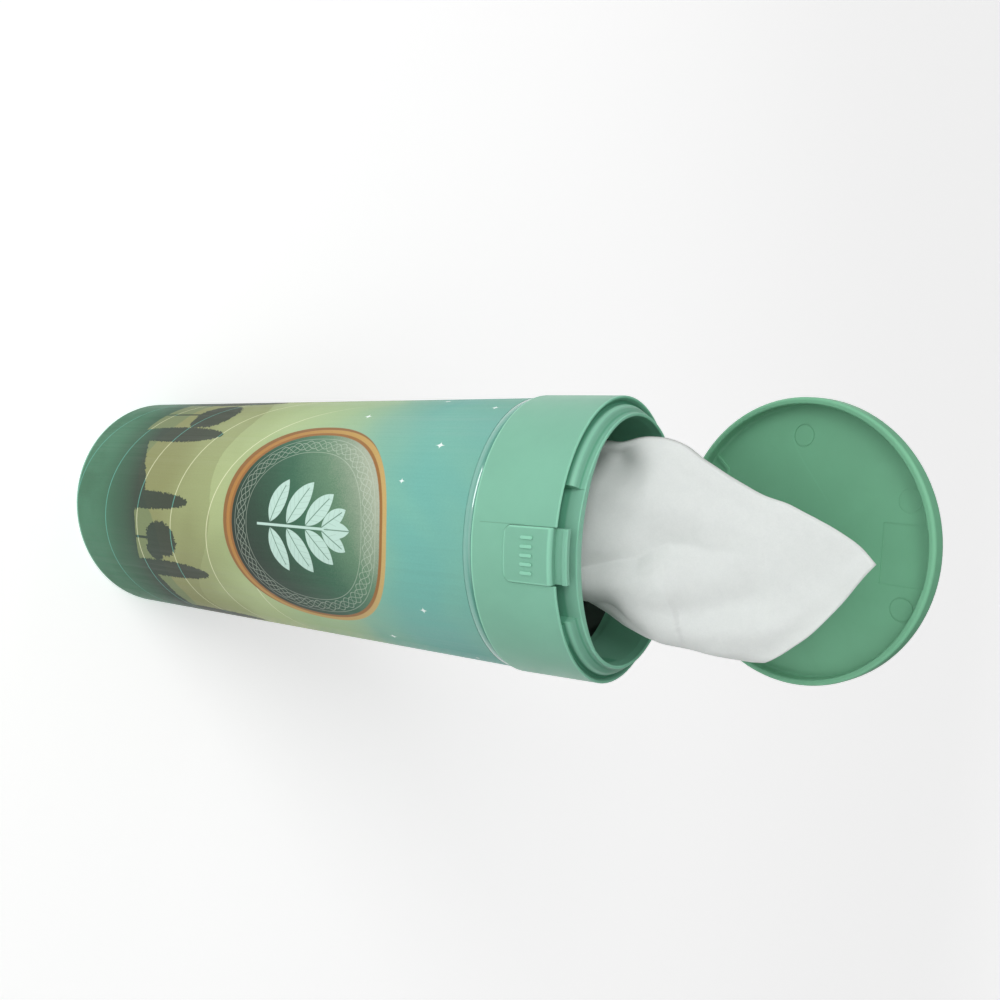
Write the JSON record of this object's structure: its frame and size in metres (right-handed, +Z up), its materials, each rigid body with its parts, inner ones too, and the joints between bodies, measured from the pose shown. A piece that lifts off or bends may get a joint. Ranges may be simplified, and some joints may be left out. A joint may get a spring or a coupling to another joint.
{
  "type": "car tissue holder",
  "caption": "Round flip-top canister for rolled tissues, cup-holder size: printed tube, plastic collar with press latch, sprung hinged lid standing open, tissue drawn through the mouth.",
  "frame": {"origin": "centre of the base, on the face it stands on", "axes": "+Z up the tube, +Y towards the lid's hinge, -Y towards the press latch, +X to the right of someone facing the latch"},
  "size_m": [0.0768, 0.0816, 0.2641],
  "materials": {
    "mint_plastic": "satin moulded polypropylene, sage mint",
    "lid_plastic": "satin moulded polypropylene, sage mint",
    "tube_plastic": "glossy moulded polypropylene, blue green",
    "base_plastic": "glossy moulded polypropylene, deep green",
    "printed_film": "glossy printed film, deep green at the base to turquoise at the collar",
    "steel": "drawn steel",
    "spring_steel": "spring steel",
    "tissue": "soft matt non-woven tissue, white"
  },
  "bodies": {
    "canister": {"base_cap": "base_plastic", "tube": "tube_plastic", "printed_sleeve": "printed_film", "collar": "mint_plastic", "neck_ring": "mint_plastic", "hinge_pin": "steel", "lid_spring": "spring_steel", "latch_pin": "steel", "latch_spring": "spring_steel", "tissue_roll": "tissue", "tissue_sheet": "tissue"},
    "lid": {"lid": "lid_plastic"},
    "latch": {"press_latch": "mint_plastic"}
  },
  "joints": [
    {"name": "lid_hinge", "type": "hinge", "parent": "canister", "child": "lid", "pos_m": [0, 0.0397, 0.1911], "axis": [-1, 0, 0], "range_deg": [-67.6, 0], "stiffness_Nm_per_rad": 0.005, "springref_deg": 68.75, "deforming": ["tissue_sheet"]},
    {"name": "latch_press", "type": "hinge", "parent": "canister", "child": "latch", "pos_m": [0, -0.0356, 0.1783], "axis": [-1, 0, 0], "range_deg": [0, 5], "stiffness_Nm_per_rad": 0.2, "springref_deg": -5.16, "deforming": ["latch_spring"]}
  ]
}
